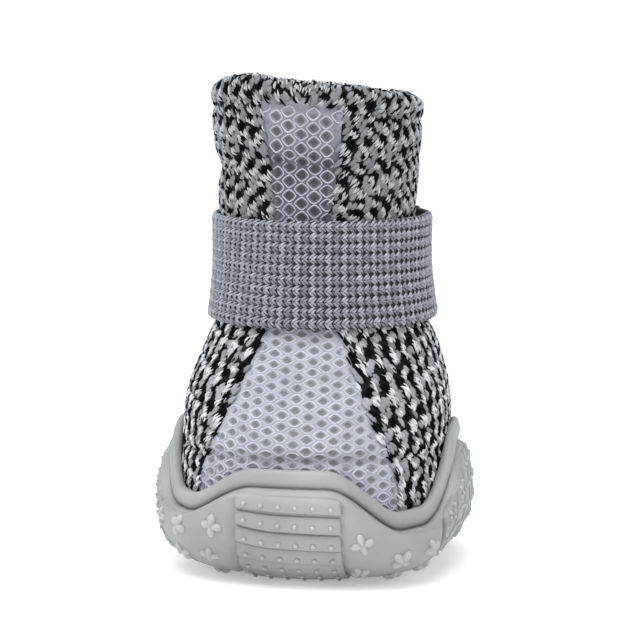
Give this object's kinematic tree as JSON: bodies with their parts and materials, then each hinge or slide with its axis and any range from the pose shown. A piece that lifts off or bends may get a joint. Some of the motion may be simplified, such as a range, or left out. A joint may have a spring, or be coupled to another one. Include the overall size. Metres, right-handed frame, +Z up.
{
  "type": "dog boot",
  "caption": "Small dog's boot for either paw: a rubber cup sole with a wavy rim and wrapped tread, a padded knit upper with a mesh front, a suede stay up the back and an elastic strap.",
  "frame": {"origin": "middle of the boot's bounding box, on the floor that the sole stands on", "axes": "-Y points to the toe and +Y to the heel, +X is one side of the boot, +Z is up through the collar"},
  "size_m": [0.062, 0.0734, 0.0955],
  "materials": {
    "outsole": "satin light grey moulded rubber",
    "insole": "matt foam faced with cloth",
    "upper": "coarse knit in black, white and grey",
    "front_panel": "open mesh cloth, pale grey",
    "back_stay": "napped light grey suede",
    "strap": "chunky woven elastic, mid grey"
  },
  "bodies": {
    "root": {"outsole": "outsole", "insole": "insole", "upper": "upper", "front_panel": "front_panel", "back_stay": "back_stay", "strap": "strap"}
  },
  "joints": []
}
